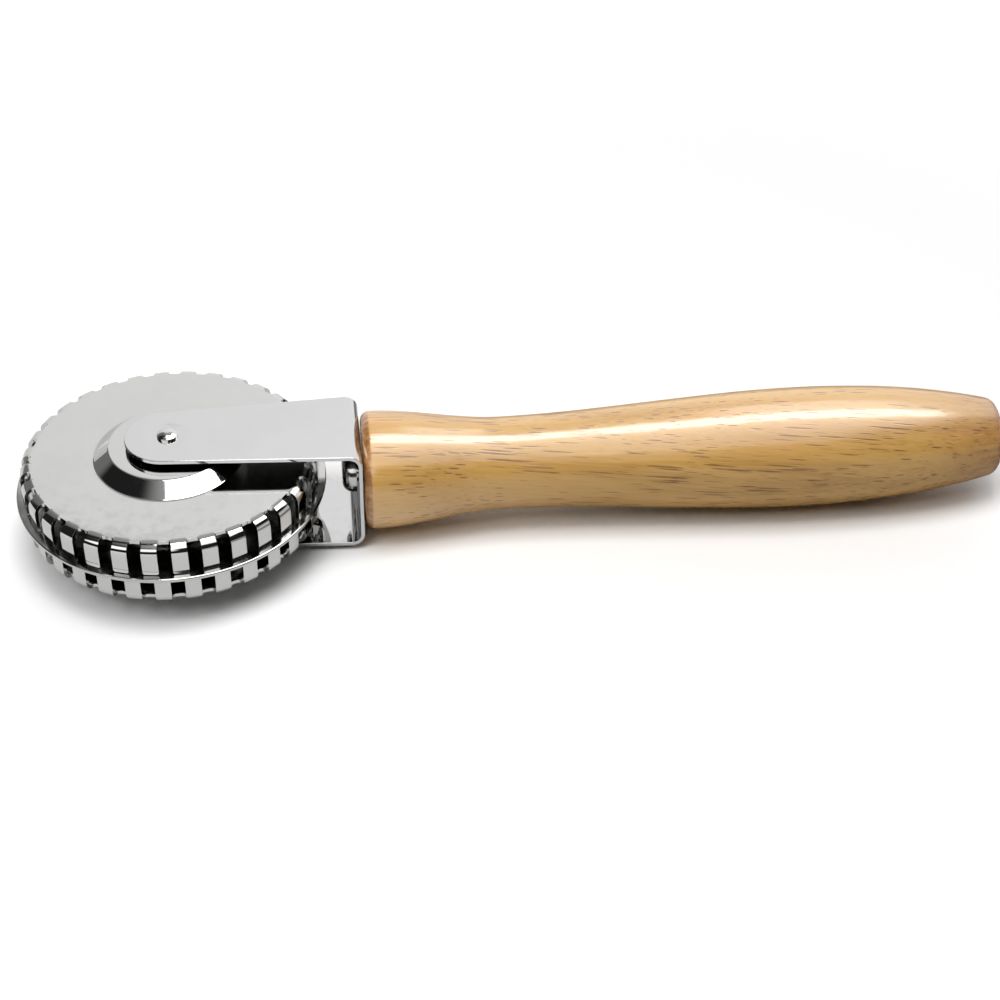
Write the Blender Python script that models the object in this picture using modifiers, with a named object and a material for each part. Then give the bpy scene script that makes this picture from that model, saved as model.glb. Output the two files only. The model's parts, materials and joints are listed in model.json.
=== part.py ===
"""Pastry crimper: two toothed crimp wheels with a plain cutting disc between them, riveted in a bent
steel fork on a turned wooden handle. Lengths are metres.

The tool lies on its side. +X runs from the wheel to the butt of the handle, +Z runs along the wheel's
axle, and the origin is under the middle of the tool, on the surface that it lies on.
"""

import math

import bmesh
import bpy
from mathutils import Matrix

# Gaps
SEAT_GAP = 0.0002  # between pieces that are fixed to each other
AXLE_PLAY = 0.00008  # radial, between the axle and the bush that turns on it
HUB_PLAY = 0.0003  # along the axle, between each end of the bush and the arm beside it

# Cutting disc
DISC_RADIUS = 0.0290
DISC_THICKNESS = 0.0008
DISC_EDGE_ROUND = 0.0003

# Crimp wheels: sheet cups, slit round the rim, with the teeth bent square towards the disc
TOOTH_COUNT = 32
TOOTH_STEP = 0.00125  # how far the disc stands proud of the teeth
CUP_SHEET = 0.0007
CUP_DEPTH = 0.0062  # from the disc's face to the outside of the cup
CUP_BEND = 0.0020  # outside radius of the bend between face and teeth
CUP_BEND_STEPS = 3
SLOT_WIDTH = 0.00254
SLOT_LENGTH = 0.0021  # in from the outer face of the teeth
SLOT_CORNER = 0.0007
BOSS_FOOT = 0.0142  # radius at which the raised boss meets the face
BOSS_TOP = 0.0110  # radius of the boss's flat top
BOSS_RISE = 0.0023
BOSS_ROUND = 0.0005  # at the top and at the foot of the boss's wall
UPPER_TURN = math.radians(4.8)
LOWER_TURN = math.radians(8.55)

# Axle rivet, and the bush that clamps the wheel together and turns on it
AXLE_RADIUS = 0.0013
RIVET_HEAD_RADIUS = 0.00195
RIVET_HEAD_HEIGHT = 0.0008
RIVET_CROWN = 0.0009  # radius of the head's flat top
BUSH_WALL = 0.0007
BUSH_FLANGE_RADIUS = 0.0034
BUSH_FLANGE_THICKNESS = 0.0004

# Fork
FORK_SHEET = 0.0008
FORK_BEND = 0.0018  # inside radius
FORK_THROAT = 0.0059  # from the disc's rim to the bridge
ARM_NOSE_WIDTH = 0.0154
ARM_ROOT_WIDTH = 0.0192
ARM_NOSE_REACH = 0.0080  # past the centre of the axle

# Screw that holds the fork to the handle
SCREW_RADIUS = 0.0020
SCREW_LENGTH = 0.0180  # under the head
SCREW_TIP = 0.0040
SCREW_HEAD_RADIUS = 0.0040
SCREW_HEAD_HEIGHT = 0.0027
SCREW_HEAD_ROUND = 0.0019
RECESS_LENGTH = 0.0040
RECESS_WIDTH = 0.0009
RECESS_DEPTH = 0.0014

# Handle
HANDLE_LENGTH = 0.1250
FRONT_RADIUS = 0.0113
FRONT_ROUND = 0.0018
WAIST_AT = 0.0265
WAIST_RADIUS = 0.0089
BELLY_AT = 0.0850
BELLY_RADIUS = 0.0116
BUTT_RADIUS = 0.0077
BUTT_SLOPE = 0.24  # fall of the radius, per unit of length, where the butt begins to round over
BUTT_ROUND = 0.0018
BUTT_CROWN = 0.0005
BUTT_CROWN_ANGLE = 8  # degrees, where the rounding ends and the crown begins
BUTT_FLAT = 0.0030
PILOT_SPARE = 0.0010  # depth of the pilot hole past the screw's tip

# Facets
WHEEL_STEPS = 2 * TOOTH_COUNT
HANDLE_STEPS = 40
SMALL_STEPS = 24
MERGE = 0.000005
CUT_SPARE = 0.0010  # how far a cutter reaches past what it cuts

# Places that follow from the sizes, measured from the wheel's centre
disc_face = DISC_THICKNESS / 2
tooth_radius = DISC_RADIUS - TOOTH_STEP
cup_face = disc_face + CUP_DEPTH
boss_face = cup_face + BOSS_RISE
bush_bore = AXLE_RADIUS + AXLE_PLAY
bush_radius = bush_bore + BUSH_WALL
hub_bore = bush_radius + SEAT_GAP
bush_end = boss_face + SEAT_GAP + BUSH_FLANGE_THICKNESS
arm_inside = bush_end + HUB_PLAY
arm_outside = arm_inside + FORK_SHEET
rivet_seat = arm_outside + SEAT_GAP
rivet_end = rivet_seat + RIVET_HEAD_HEIGHT
bridge_inside = DISC_RADIUS + FORK_THROAT
bridge_outside = bridge_inside + FORK_SHEET
handle_front = bridge_outside + SEAT_GAP
handle_butt = handle_front + HANDLE_LENGTH

# The wheel's centre in the tool's frame
axle_x = (DISC_RADIUS - handle_butt) / 2
axle_z = max(rivet_end, BELLY_RADIUS, FRONT_RADIUS)


def clear_scene():
    for obj in list(bpy.data.objects):
        bpy.data.objects.remove(obj, do_unlink=True)


def new_collection(name):
    made = bpy.data.collections.new(name)
    bpy.context.scene.collection.children.link(made)
    return made


def new_material(name, colour, roughness, metallic):
    made = bpy.data.materials.new(name)
    made.use_nodes = True
    shader = made.node_tree.nodes["Principled BSDF"]
    shader.inputs["Base Color"].default_value = (*colour, 1.0)
    shader.inputs["Roughness"].default_value = roughness
    shader.inputs["Metallic"].default_value = metallic
    made.diffuse_color = (*colour, 1.0)
    return made


def new_object(name, data, collection, parent=None):
    made = bpy.data.objects.new(name, data)
    collection.objects.link(made)
    made.parent = parent
    return made


def finish(obj, material, smooth_under=30):
    """Gives the piece its material, and smooth shading on all but its sharp edges."""
    obj.data.materials.append(material)
    obj.data.shade_smooth()
    obj.data.set_sharp_from_angle(angle=math.radians(smooth_under))


def arc(centre, radius, start, end, steps):
    """Points on an arc in two coordinates, both ends included, with angles in degrees."""
    angles = [math.radians(start + (end - start) * i / steps) for i in range(steps + 1)]
    return [(centre[0] + radius * math.cos(a), centre[1] + radius * math.sin(a)) for a in angles]


def ease(start, end, start_slope, end_slope, steps):
    """Points after start, up to end, on the cubic with the given slopes of radius over length."""
    length = end[0] - start[0]
    points = []
    for i in range(1, steps + 1):
        t = i / steps
        radius = (2 * t**3 - 3 * t**2 + 1) * start[1] + (3 * t**2 - 2 * t**3) * end[1]
        radius += length * ((t**3 - 2 * t**2 + t) * start_slope + (t**3 - t**2) * end_slope)
        points.append((start[0] + length * t, radius))
    return points


def turned(name, profile, steps, collection, parent=None, closed=False):
    """A profile of (radius, height) points, turned round Z. It runs down the outer side."""
    mesh = bpy.data.meshes.new(name)
    count = len(profile)
    edges = [(i, i + 1) for i in range(count - 1)] + ([(count - 1, 0)] if closed else [])
    mesh.from_pydata([(radius, 0, height) for radius, height in profile], edges, [])
    obj = new_object(name, mesh, collection, parent)
    screw = obj.modifiers.new("Turn", "SCREW")
    screw.axis = "Z"
    screw.steps = steps
    screw.render_steps = steps
    screw.use_merge_vertices = True
    screw.merge_threshold = MERGE
    screw.use_smooth_shade = True
    return obj


def flat_outline(name, points, half_height, collection):
    """A closed outline in XY, filled and extruded both ways along Z, as a mesh."""
    curve = bpy.data.curves.new(name, "CURVE")
    curve.dimensions = "2D"
    curve.fill_mode = "BOTH"
    curve.extrude = half_height
    spline = curve.splines.new("POLY")
    spline.points.add(len(points) - 1)
    for point, (x, y) in zip(spline.points, points):
        point.co = (x, y, 0, 1)
    spline.use_cyclic_u = True
    drawn = new_object(name + "_curve", curve, collection)
    graph = bpy.context.evaluated_depsgraph_get()
    mesh = bpy.data.meshes.new_from_object(drawn.evaluated_get(graph))
    shape = bmesh.new()
    shape.from_mesh(mesh)
    bmesh.ops.remove_doubles(shape, verts=shape.verts, dist=MERGE)
    shape.to_mesh(mesh)
    shape.free()
    obj = new_object(name, mesh, collection)
    obj.matrix_world = drawn.matrix_world
    bpy.data.objects.remove(drawn, do_unlink=True)
    bpy.data.curves.remove(curve)
    return obj


def cylinder(name, radius, depth, steps, collection, parent=None):
    shape = bmesh.new()
    bmesh.ops.create_cone(
        shape, cap_ends=True, segments=steps, radius1=radius, radius2=radius, depth=depth
    )
    mesh = bpy.data.meshes.new(name)
    shape.to_mesh(mesh)
    shape.free()
    return new_object(name, mesh, collection, parent)


def block(name, size, collection, parent=None):
    shape = bmesh.new()
    bmesh.ops.create_cube(shape, size=1)
    bmesh.ops.scale(shape, vec=size, verts=shape.verts)
    mesh = bpy.data.meshes.new(name)
    shape.to_mesh(mesh)
    shape.free()
    return new_object(name, mesh, collection, parent)


def combine(obj, tool, operation="DIFFERENCE"):
    tool.hide_render = True
    tool.display_type = "WIRE"
    boolean = obj.modifiers.new(tool.name, "BOOLEAN")
    boolean.operation = operation
    boolean.solver = "EXACT"
    boolean.object = tool


def cutting_disc():
    rim = DISC_RADIUS - DISC_EDGE_ROUND
    shoulder = disc_face - DISC_EDGE_ROUND
    profile = [(hub_bore, disc_face)]
    profile += arc((rim, shoulder), DISC_EDGE_ROUND, 90, 0, 2)
    profile += arc((rim, -shoulder), DISC_EDGE_ROUND, 0, -90, 2)
    profile += [(hub_bore, -disc_face)]
    disc = turned("cutting_disc", profile, WHEEL_STEPS, parts, wheel_axis, closed=True)
    finish(disc, steel)


def boss_wall():
    """(radius, height) down the boss's wall: straight, with the same rounding at its top and at its foot."""
    width = BOSS_FOOT - BOSS_TOP
    height = BOSS_RISE - 2 * BOSS_ROUND
    slope = math.degrees(math.atan2(height, width) + math.asin(2 * BOSS_ROUND / math.hypot(width, height)))
    top = arc((BOSS_TOP, boss_face - BOSS_ROUND), BOSS_ROUND, 90, 90 - slope, 2)
    foot = arc((BOSS_FOOT, cup_face + BOSS_ROUND), BOSS_ROUND, 270 - slope, 270, 2)
    return top + foot


def crimp_profile():
    """The outside of the cup, from its bore over the boss, the face and the bend to the tips of the teeth."""
    bend = arc((tooth_radius - CUP_BEND, cup_face - CUP_BEND), CUP_BEND, 90, 0, CUP_BEND_STEPS)
    return [(hub_bore, boss_face), *boss_wall(), *bend, (tooth_radius, disc_face + SEAT_GAP)]


def slot_cutters(name, turn):
    """One upright cutter for each gap between two teeth, with its inner corners rounded."""
    inner = tooth_radius - SLOT_LENGTH
    side = SLOT_WIDTH / 2
    corner = inner + SLOT_CORNER
    outline = [(tooth_radius + CUT_SPARE, side)]
    outline += arc((corner, side - SLOT_CORNER), SLOT_CORNER, 90, 180, 3)
    outline += arc((corner, SLOT_CORNER - side), SLOT_CORNER, 180, 270, 3)
    outline += [(tooth_radius + CUT_SPARE, -side)]
    slot = flat_outline(name, outline, cup_face + CUT_SPARE, cutters)
    pitch = math.tau / TOOTH_COUNT
    shape = bmesh.new()
    shape.from_mesh(slot.data)
    bmesh.ops.rotate(shape, matrix=Matrix.Rotation(pitch / 2, 3, "Z"), verts=shape.verts)
    one = shape.verts[:] + shape.edges[:] + shape.faces[:]
    bmesh.ops.spin(
        shape,
        geom=one,
        cent=(0, 0, 0),
        axis=(0, 0, 1),
        angle=math.tau - pitch,
        steps=TOOTH_COUNT - 1,
        use_duplicate=True,
    )
    shape.to_mesh(slot.data)
    shape.free()
    slot.parent = wheel_axis
    slot.rotation_euler = turn
    return slot


def crimp_wheel(name, turn):
    """A cup whose teeth reach down to the disc. One tooth is centred on its own X axis."""
    cup = turned(name, crimp_profile(), WHEEL_STEPS, parts, wheel_axis)
    cup.rotation_euler = turn
    sheet = cup.modifiers.new("Sheet", "SOLIDIFY")
    sheet.thickness = CUP_SHEET
    sheet.offset = -1
    sheet.use_even_offset = True
    combine(cup, slot_cutters(name + "_slots", turn))
    finish(cup, steel)


def hub_bush():
    """The tube that holds the two cups and the disc together, with a flange rolled over each boss."""
    seat = boss_face + SEAT_GAP
    profile = [
        (bush_bore, bush_end),
        (BUSH_FLANGE_RADIUS, bush_end),
        (BUSH_FLANGE_RADIUS, seat),
        (bush_radius, seat),
        (bush_radius, -seat),
        (BUSH_FLANGE_RADIUS, -seat),
        (BUSH_FLANGE_RADIUS, -bush_end),
        (bush_bore, -bush_end),
    ]
    bush = turned("hub_bush", profile, SMALL_STEPS, parts, wheel_axis, closed=True)
    finish(bush, steel)


def rivet_head():
    """(radius, height) down one head: a small flat where the set struck it, then a low round to the rim."""
    reach = RIVET_HEAD_RADIUS - RIVET_CROWN
    sphere = (reach**2 + RIVET_HEAD_HEIGHT**2) / (2 * RIVET_HEAD_HEIGHT)
    edge = math.degrees(math.asin(reach / sphere))
    side = arc((RIVET_CROWN, RIVET_HEAD_HEIGHT - sphere), sphere, 90, 90 - edge, 4)
    return [(0, RIVET_HEAD_HEIGHT), *side[:-1], (RIVET_HEAD_RADIUS, 0)]


def axle_rivet():
    """A plain pin with a low head on each arm."""
    top = [(radius, rivet_seat + height) for radius, height in rivet_head()]
    profile = top + [(AXLE_RADIUS, rivet_seat), (AXLE_RADIUS, -rivet_seat)]
    profile += [(radius, -height) for radius, height in reversed(top)]
    rivet = turned("axle_rivet", profile, SMALL_STEPS, parts, tool_axis)
    finish(rivet, steel)


def fork():
    """Sheet bent into a U round the wheel, cut to its outline as seen from above, with its three holes."""
    middle = FORK_SHEET / 2
    bend = FORK_BEND + middle
    level = arm_inside + middle
    end = bridge_inside + middle
    path = [(-ARM_NOSE_REACH - CUT_SPARE, level)]
    path += arc((end - bend, level - bend), bend, 90, 0, 5)
    path += arc((end - bend, bend - level), bend, 0, -90, 5)
    path += [(-ARM_NOSE_REACH - CUT_SPARE, -level)]
    half_width = ARM_ROOT_WIDTH / 2 + CUT_SPARE
    shape = bmesh.new()
    points = [shape.verts.new((x, half_width, z)) for x, z in path]
    edges = [shape.edges.new(pair) for pair in zip(points, points[1:])]
    swept = bmesh.ops.extrude_edge_only(shape, edges=edges)["geom"]
    moved = [item for item in swept if isinstance(item, bmesh.types.BMVert)]
    bmesh.ops.translate(shape, vec=(0, -2 * half_width, 0), verts=moved)
    mesh = bpy.data.meshes.new("fork")
    shape.to_mesh(mesh)
    shape.free()
    bent = new_object("fork", mesh, parts, tool_axis)
    sheet = bent.modifiers.new("Sheet", "SOLIDIFY")
    sheet.thickness = FORK_SHEET
    sheet.offset = 0
    sheet.use_even_offset = True
    combine(bent, fork_outline(), "INTERSECT")
    rivet_hole = cylinder(
        "rivet_hole", AXLE_RADIUS + SEAT_GAP, 2 * (arm_outside + CUT_SPARE), SMALL_STEPS, cutters, tool_axis
    )
    combine(bent, rivet_hole)
    screw_hole = cylinder(
        "screw_hole", SCREW_RADIUS + SEAT_GAP, 2 * CUT_SPARE + FORK_SHEET, SMALL_STEPS, cutters, tool_axis
    )
    screw_hole.location.x = end
    screw_hole.rotation_euler.y = -math.pi / 2
    combine(bent, screw_hole)
    finish(bent, steel)


def fork_outline():
    """The arms as seen from above: a round nose, widening to the bridge along its two tangents."""
    nose = ARM_NOSE_WIDTH / 2
    root = ARM_ROOT_WIDTH / 2
    centre = nose - ARM_NOSE_REACH
    spread = math.degrees(math.atan((root - nose) / (bridge_inside - FORK_BEND - centre)))
    outline = arc((centre, 0), nose, 90 + spread, 270 - spread, 12)
    outline = [(bridge_inside - FORK_BEND, root), *outline, (bridge_inside - FORK_BEND, -root)]
    outline = [(bridge_outside + CUT_SPARE, root), *outline, (bridge_outside + CUT_SPARE, -root)]
    cut = flat_outline("fork_plan", outline, arm_outside + CUT_SPARE, cutters)
    cut.parent = tool_axis
    return cut


def handle_screw():
    """A pan-head wood screw through the bridge, its head inside the fork."""
    shoulder = (SCREW_HEAD_RADIUS - SCREW_HEAD_ROUND, SCREW_HEAD_HEIGHT - SCREW_HEAD_ROUND)
    head = [(0, SCREW_HEAD_HEIGHT), *arc(shoulder, SCREW_HEAD_ROUND, 90, 0, 5), (SCREW_HEAD_RADIUS, 0)]
    profile = [*head, (SCREW_RADIUS, 0), (SCREW_RADIUS, SCREW_TIP - SCREW_LENGTH), (0, -SCREW_LENGTH)]
    screw = turned("handle_screw", profile, SMALL_STEPS, parts, tool_axis)
    screw.location.x = bridge_inside - SEAT_GAP
    screw.rotation_euler.y = -math.pi / 2
    for number, angle in enumerate((math.pi / 4, -math.pi / 4), start=1):
        size = (RECESS_LENGTH, RECESS_WIDTH, 2 * RECESS_DEPTH)
        slot = block(f"recess_{number}", size, cutters, screw)
        slot.location.z = SCREW_HEAD_HEIGHT
        slot.rotation_euler.z = angle
        combine(screw, slot)
    finish(screw, steel)


def handle_profile():
    """(length, radius) along the handle, from the rim of its pilot hole at the front to its butt."""
    pilot = SCREW_RADIUS + SEAT_GAP
    depth = SCREW_LENGTH - FORK_SHEET + PILOT_SPARE
    front = arc((FRONT_ROUND, FRONT_RADIUS - FRONT_ROUND), FRONT_ROUND, 180, 90, 4)
    waist = (WAIST_AT, WAIST_RADIUS)
    belly = (BELLY_AT, BELLY_RADIUS)
    butt = (HANDLE_LENGTH - BUTT_CROWN - BUTT_ROUND, BUTT_RADIUS)
    lean = math.atan(BUTT_SLOPE)
    centre = (butt[0] - BUTT_ROUND * math.sin(lean), butt[1] - BUTT_ROUND * math.cos(lean))
    rounding = arc(centre, BUTT_ROUND, 90 - math.degrees(lean), BUTT_CROWN_ANGLE, 3)
    profile = [(depth, 0), (depth, pilot), (0, pilot), *front]
    profile += ease(front[-1], waist, 0, 0, 6)
    profile += ease(waist, belly, 0, 0, 8)
    profile += ease(belly, butt, 0, -BUTT_SLOPE, 6)
    profile += rounding[1:]
    profile += [(HANDLE_LENGTH, BUTT_FLAT), (HANDLE_LENGTH, 0)]
    return profile


def handle():
    profile = [(radius, -length) for length, radius in handle_profile()]
    grip = turned("handle", profile, HANDLE_STEPS, parts, tool_axis)
    grip.location.x = handle_front
    grip.rotation_mode = "ZYX"
    grip.rotation_euler = (0, -math.pi / 2, math.pi / HANDLE_STEPS)
    finish(grip, wood)


clear_scene()
parts = new_collection("pastry_crimper")
cutters = new_collection("cutters")
steel = new_material("chromed_steel", (0.80, 0.81, 0.80), 0.08, 1.0)
wood = new_material("lacquered_wood", (0.62, 0.39, 0.17), 0.25, 0.0)
tool_axis = new_object("tool_axis", None, parts)
tool_axis.location = (axle_x, 0, axle_z)
wheel_axis = new_object("wheel_axis", None, parts)
wheel_axis.location = (axle_x, 0, axle_z)

cutting_disc()
crimp_wheel("upper_crimp_wheel", (0, 0, UPPER_TURN))
crimp_wheel("lower_crimp_wheel", (math.pi, 0, LOWER_TURN))
hub_bush()
axle_rivet()
fork()
handle_screw()
handle()
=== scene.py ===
"""Pastry crimper on a white table: chromed sheet, a steel cutting disc and a clear lacquered wooden handle.

Lengths are metres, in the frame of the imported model: +X from the wheel to the butt of the handle, +Z up along
the wheel's axle. The wheel's own pieces are drawn round the axle's middle and moved there once they are done.
"""

import json
import math

import bmesh
import bpy
from mathutils import Matrix, Vector


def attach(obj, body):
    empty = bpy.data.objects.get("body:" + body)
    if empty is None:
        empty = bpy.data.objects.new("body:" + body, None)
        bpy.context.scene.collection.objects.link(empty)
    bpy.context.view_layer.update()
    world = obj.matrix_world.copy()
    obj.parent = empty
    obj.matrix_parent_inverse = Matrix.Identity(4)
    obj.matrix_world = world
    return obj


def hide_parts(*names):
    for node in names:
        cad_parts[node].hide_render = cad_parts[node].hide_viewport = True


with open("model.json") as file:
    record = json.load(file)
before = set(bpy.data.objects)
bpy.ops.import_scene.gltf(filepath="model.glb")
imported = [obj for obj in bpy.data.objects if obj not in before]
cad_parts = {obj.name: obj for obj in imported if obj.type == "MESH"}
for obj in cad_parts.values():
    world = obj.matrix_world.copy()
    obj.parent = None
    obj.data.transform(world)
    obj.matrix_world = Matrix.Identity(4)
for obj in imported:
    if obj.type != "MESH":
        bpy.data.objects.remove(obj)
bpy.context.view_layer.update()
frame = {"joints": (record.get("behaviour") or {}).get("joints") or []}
axle = Vector(frame["joints"][0]["pos_m"])

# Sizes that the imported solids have, measured from the wheel's centre
DISC_RADIUS = 0.0290
DISC_FACE = 0.0004
SEAT_GAP = 0.0002
TOOTH_COUNT = 32
TOOTH_RADIUS = 0.02775
CUP_SHEET = 0.0007
CUP_FACE = 0.0066
CUP_BEND = 0.0020
SLOT_HALF = 0.00127
SLOT_END = 0.02565
SLOT_CORNER = 0.0007
BOSS_FACE = 0.0089
BOSS_TOP = 0.0110
BOSS_FOOT = 0.0142
BOSS_ROUND = 0.0005
UPPER_TURN = math.radians(4.8)
LOWER_TURN = math.radians(8.55)
BUSH_BORE = 0.00138
BUSH_RADIUS = 0.00208
BUSH_FLANGE_RADIUS = 0.0034
BUSH_FLANGE = 0.0004
ARM_INSIDE = 0.0098
FORK_SHEET = 0.0008
FORK_BEND = 0.0018
BRIDGE_INSIDE = 0.0349
ARM_NOSE_WIDTH = 0.0154
ARM_ROOT_WIDTH = 0.0192
ARM_NOSE_REACH = 0.0080
AXLE_RADIUS = 0.0013
RIVET_HEAD_RADIUS = 0.00195
RIVET_HEAD_HEIGHT = 0.0008
SCREW_RADIUS = 0.0020
SCREW_LENGTH = 0.0180
SCREW_TIP = 0.0040
SCREW_HEAD_RADIUS = 0.0040
SCREW_HEAD_HEIGHT = 0.0027
SCREW_HEAD_ROUND = 0.0019
RECESS_LENGTH = 0.0040
RECESS_WIDTH = 0.0009
RECESS_DEPTH = 0.0014
HANDLE_FRONT = 0.0359
HANDLE_LENGTH = 0.1250
FRONT_RADIUS = 0.0113
FRONT_ROUND = 0.0018
WAIST_AT = 0.0265
WAIST_RADIUS = 0.0089
BELLY_AT = 0.0850
BELLY_RADIUS = 0.0116
BUTT_RADIUS = 0.0077
BUTT_SLOPE = 0.24
BUTT_ROUND = 0.0018
BUTT_CROWN = 0.0005
BUTT_CROWN_ANGLE = 8
BUTT_FLAT = 0.0030
PILOT_DEPTH = 0.0182

# Finer sizes that only show close to
PUNCHED_EDGE = 0.00019
TEETH_EDGE = 0.00028
DISC_EDGE = 0.0003
RIVET_FLAT = 0.0003
RIVET_DOME = 0.0027
RIVET_CORNER = 0.00015
RECESS_EDGE = 0.00008
RECESS_NARROWED = (0.55, 0.8)  # shares of its length and width left at its floor
TIP_CORNER = 0.0004
TOOTH_HALF = 1.15 * SLOT_HALF
DISH_INSIDE = 0.0022
DISH_OUTSIDE = 0.0047
DISH_DEPTH = 0.00005

# How the pieces are drawn
TOOTH_ROOT = 0.0246  # radius at which a tooth's own mesh begins
TOOTH_COLUMNS = (0.0, 0.35, 0.65, 0.82, 0.93, 1.0)  # shares of half a tooth's width
TOOTH_ROWS = (0.4, 0.75, 0.93, 1.0)  # shares of a tooth's straight part
BOSS_RINGS = (0.0050, 0.0080)
FACE_RINGS = (0.0190, 0.0240)
DISC_RINGS = (0.0120, 0.0240)
FRONT_RING = 0.0060
ROUND_MARGIN = 0.0006  # kept flat beside the boss's two roundings
CUT_ROOM = 0.001  # how far a blank or a punch reaches past what is cut
MERGE = 0.000002
SMOOTH_UNDER = math.radians(35)

# Where the inside of the fork's bent end begins, in the model's frame
END_INSIDE = -0.0330
END_FADE = 0.0004

# Colours of the finishes
# The first two are painted shade on the fork: under its upper arm, and inside its bent end
UNDERSIDE_PAINTED_SHADE = (0.10, 0.10, 0.095)
END_SHADE = (0.16, 0.165, 0.16)
WOOD_PALE = (0.610, 0.338, 0.078)
WOOD_DEEP = (0.500, 0.255, 0.046)
WOOD_BLUSH = (0.620, 0.318, 0.085)
WOOD_FIBRE = (0.740, 0.470, 0.170)
WOOD_VESSEL = (0.215, 0.088, 0.014)
END_GRAIN_DARK = (0.27, 0.110, 0.026)
END_GRAIN_PALE = (0.46, 0.215, 0.060)

# The grain's slant, in metres for each metre along the handle, from a place near the handle's front
SLANT_ACROSS = 0.075
SLANT_UP = 0.095
SLANT_FROM = -0.022
SLANT_EASE = 0.02

# The studio
PAPER_LIT = (0.9, 0.9, 0.9)
PAPER_SEEN = (0.98, 0.98, 0.98)
PAPER_IN_WHEEL = (0.76, 0.76, 0.76)
PAPER_IN_GRIP = (0.20, 0.20, 0.20)
LAMP_HEIGHT = 0.60

# The camera, fitted to the photograph, with its angles in degrees
CAMERA_AZIMUTH = -6.935
CAMERA_ELEVATION = 39.108
CAMERA_ROLL = 1.158
CAMERA_TARGET = (-0.003421, 0.0, 0.002319)
CAMERA_DISTANCE = 0.371754
CAMERA_LENS = 68.4


# Drawing

def arc(centre, radius, start, end, steps):
    """Points on an arc in two coordinates, both ends included, with angles in degrees."""
    angles = [math.radians(start + (end - start) * i / steps) for i in range(steps + 1)]
    return [(centre[0] + radius * math.cos(a), centre[1] + radius * math.sin(a)) for a in angles]


def ease(start, end, start_slope, end_slope, steps):
    """Points after start, up to end, on the cubic with the given slopes at its two ends."""
    length = end[0] - start[0]
    points = []
    for i in range(1, steps + 1):
        t = i / steps
        level = (2 * t**3 - 3 * t**2 + 1) * start[1] + (3 * t**2 - 2 * t**3) * end[1]
        level += length * ((t**3 - 2 * t**2 + t) * start_slope + (t**3 - t**2) * end_slope)
        points.append((start[0] + length * t, level))
    return points


def new_piece(name, shape):
    """The drawn shape as an object at the origin, smooth but for its sharp edges."""
    mesh = bpy.data.meshes.new(name)
    shape.to_mesh(mesh)
    shape.free()
    mesh.shade_smooth()
    mesh.set_sharp_from_angle(angle=SMOOTH_UNDER)
    piece = bpy.data.objects.new(name, mesh)
    bpy.context.scene.collection.objects.link(piece)
    return piece


def turned_shape(profile, steps, closed=False):
    """A profile of (radius, height) points turned round Z. It runs down the outer side."""
    shape = bmesh.new()
    rings = []
    for radius, height in profile:
        if radius == 0:
            rings.append([shape.verts.new((0, 0, height))] * steps)
            continue
        angles = [math.tau * i / steps for i in range(steps)]
        rings.append([shape.verts.new((radius * math.cos(a), radius * math.sin(a), height)) for a in angles])
    pairs = list(zip(rings, rings[1:])) + ([(rings[-1], rings[0])] if closed else [])
    for upper, lower in pairs:
        for i in range(steps):
            j = (i + 1) % steps
            corners = dict.fromkeys((upper[i], lower[i], lower[j], upper[j]))
            shape.faces.new(corners)
    bmesh.ops.recalc_face_normals(shape, faces=shape.faces)
    return shape


def apply_modifiers(piece):
    """Makes a piece with its modifiers into a plain mesh."""
    graph = bpy.context.evaluated_depsgraph_get()
    mesh = bpy.data.meshes.new_from_object(piece.evaluated_get(graph), depsgraph=graph)
    old = piece.data
    piece.modifiers.clear()
    piece.data = mesh
    bpy.data.meshes.remove(old)
    mesh.name = piece.name


def round_edges(piece, width, segments=2, angle=45):
    bevel = piece.modifiers.new("Edges", "BEVEL")
    bevel.width = width
    bevel.segments = segments
    bevel.limit_method = "ANGLE"
    bevel.angle_limit = math.radians(angle)
    bevel.use_clamp_overlap = True
    bevel.harden_normals = True


def cut_by(piece, tool, operation="DIFFERENCE"):
    boolean = piece.modifiers.new("Cut", "BOOLEAN")
    boolean.operation = operation
    boolean.solver = "EXACT"
    boolean.object = tool


def clean(piece):
    """Merges what a cut leaves double, and shades the result."""
    shape = bmesh.new()
    shape.from_mesh(piece.data)
    bmesh.ops.remove_doubles(shape, verts=shape.verts, dist=MERGE)
    bmesh.ops.dissolve_degenerate(shape, edges=shape.edges, dist=MERGE)
    shape.to_mesh(piece.data)
    shape.free()
    piece.data.shade_smooth()
    piece.data.set_sharp_from_angle(angle=SMOOTH_UNDER)


def place(piece, body, slot, material, *nodes):
    """Moves a piece drawn round the axle's middle to its place, and gives it its body and finish. Its slot is
    not used.
    """
    piece.data.transform(Matrix.Translation(axle))
    piece.data.materials.clear()
    piece.data.materials.append(material)
    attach(piece, body)
    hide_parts(*nodes)


# Finishes

def node(tree, kind, inputs=None, **settings):
    made = tree.nodes.new(kind)
    for name, value in settings.items():
        setattr(made, name, value)
    for name, value in (inputs or {}).items():
        socket = made.inputs[name]
        if isinstance(value, bpy.types.NodeSocket):
            tree.links.new(value, socket)
        else:
            socket.default_value = value
    return made


def math_node(tree, operation, first, second=0.0, third=0.0):
    inputs = {0: first, 1: second, 2: third}
    return node(tree, "ShaderNodeMath", inputs, operation=operation).outputs[0]


def product(tree, first, *others):
    for other in others:
        first = math_node(tree, "MULTIPLY", first, other)
    return first


def vector_node(tree, operation, first, second=(0, 0, 0)):
    return node(tree, "ShaderNodeVectorMath", {0: first, 1: second}, operation=operation).outputs


def axes(tree, vector):
    """A vector's x, y and z."""
    return node(tree, "ShaderNodeSeparateXYZ", {0: vector}).outputs


def facing(tree):
    """The way that the surface faces."""
    return node(tree, "ShaderNodeTexCoord").outputs["Normal"]


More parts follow.
